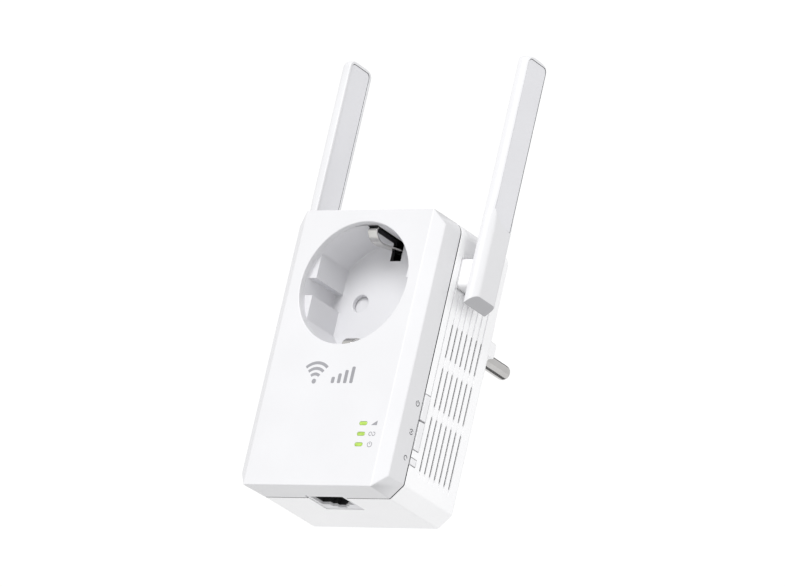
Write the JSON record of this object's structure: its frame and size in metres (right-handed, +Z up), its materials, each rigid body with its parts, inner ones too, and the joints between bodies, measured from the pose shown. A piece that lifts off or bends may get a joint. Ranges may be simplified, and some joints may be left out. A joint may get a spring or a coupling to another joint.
{
  "type": "wifi range extender",
  "caption": "Wall-plug wifi range extender: white casing with a pass-through earthed socket in front, a round-pin plug behind and an antenna folding on each side.",
  "frame": {"origin": "centre of the plug's rear face, the plane that the two round pins leave and that seats against the wall socket", "axes": "+Y into the wall along the pins, +Z up, +X to the right as seen from the front"},
  "size_m": [0.0706, 0.0712, 0.145],
  "materials": {
    "casing_white": "satin gloss moulded ABS",
    "socket_white": "satin moulded plastic",
    "button_white": "satin moulded plastic",
    "antenna_panel": "fine satin, a little greyer than the casing",
    "nickel": "bright nickel plate",
    "brass": "rolled brass",
    "zinc_steel": "zinc plated",
    "gold_plate": "gold flash on spring wire",
    "tin_plate": "tinned sheet",
    "board_green": "solder mask on glass laminate",
    "antenna_board": "thin laminate",
    "black_plastic": "black moulded plastic",
    "ferrite": "taped ferrite core",
    "capacitor_sleeve": "shrink sleeve",
    "fuse_tube": "ceramic tube",
    "light_guide": "tinted clear plastic, olive green at the front",
    "lamp_lens": "diffusing lens",
    "lead_grey": "jacket",
    "lead_brown": "jacket",
    "lead_blue": "jacket",
    "lead_green": "jacket"
  },
  "bodies": {
    "housing": {"front_cover": "casing_white", "rear_housing": "casing_white", "plug_base": "casing_white", "hinge_boss_right": "casing_white", "hinge_boss_left": "casing_white", "socket_cup": "socket_white", "earth_strap": "nickel", "plug_earth_strap": "nickel", "line_pin": "nickel", "neutral_pin": "nickel", "line_contact": "brass", "neutral_contact": "brass", "shutter_spring": "zinc_steel", "casing_screw_1": "zinc_steel", "casing_screw_2": "zinc_steel", "casing_screw_3": "zinc_steel", "casing_screw_4": "zinc_steel", "friction_washer_right": "zinc_steel", "friction_washer_left": "zinc_steel", "jack_contacts": "gold_plate", "radio_shield": "tin_plate", "main_board": "board_green", "power_board": "board_green", "processor": "black_plastic", "ethernet_jack": "black_plastic", "power_switch": "black_plastic", "pairing_switch": "black_plastic", "reset_switch": "black_plastic", "transformer": "ferrite", "input_capacitor": "capacitor_sleeve", "output_capacitor": "capacitor_sleeve", "mains_fuse": "fuse_tube", "light_guide": "light_guide", "lamp_power": "lamp_lens", "lamp_link": "lamp_lens", "lamp_signal": "lamp_lens", "coax_lead_right": "lead_grey", "coax_lead_left": "lead_grey", "line_lead": "lead_brown", "neutral_lead": "lead_blue", "earth_lead": "lead_green"},
    "antenna_right": {"antenna_shell_right": "casing_white", "antenna_right_inner_panel": "antenna_panel", "antenna_right_outer_panel": "antenna_panel", "antenna_element_right": "antenna_board", "hinge_axle_right": "zinc_steel", "axle_circlip_right": "zinc_steel"},
    "antenna_left": {"antenna_shell_left": "casing_white", "antenna_left_inner_panel": "antenna_panel", "antenna_left_outer_panel": "antenna_panel", "antenna_element_left": "antenna_board", "hinge_axle_left": "zinc_steel", "axle_circlip_left": "zinc_steel"},
    "power_button": {"power_button": "button_white"},
    "pairing_button": {"pairing_button": "button_white"},
    "reset_button": {"reset_button": "button_white"},
    "shutter": {"socket_shutter": "socket_white"}
  },
  "joints": [
    {"name": "antenna_right_hinge", "type": "hinge", "parent": "housing", "child": "antenna_right", "pos_m": [0.0316, -0.0324, 0.0111], "axis": [1, 0, 0], "range_deg": [0, 180]},
    {"name": "antenna_left_hinge", "type": "hinge", "parent": "housing", "child": "antenna_left", "pos_m": [-0.0316, -0.0324, 0.0111], "axis": [1, 0, 0], "range_deg": [0, 180]},
    {"name": "power_button_press", "type": "slide", "parent": "housing", "child": "power_button", "axis": [-1, 0, 0], "range_m": [0, 0.0015], "stiffness_N_per_m": 400, "springref_m": -0.0015},
    {"name": "pairing_button_press", "type": "slide", "parent": "housing", "child": "pairing_button", "axis": [-1, 0, 0], "range_m": [0, 0.0008], "stiffness_N_per_m": 500, "springref_m": -0.0015},
    {"name": "reset_button_press", "type": "slide", "parent": "housing", "child": "reset_button", "axis": [-1, 0, 0], "range_m": [0, 0.0008], "stiffness_N_per_m": 300, "springref_m": -0.0015},
    {"name": "shutter_turn", "type": "hinge", "parent": "housing", "child": "shutter", "pos_m": [0, -0.0329, 0.0023], "axis": [0, 1, 0], "range_deg": [0, 42], "stiffness_Nm_per_rad": 0.002, "springref_deg": -28.65}
  ]
}
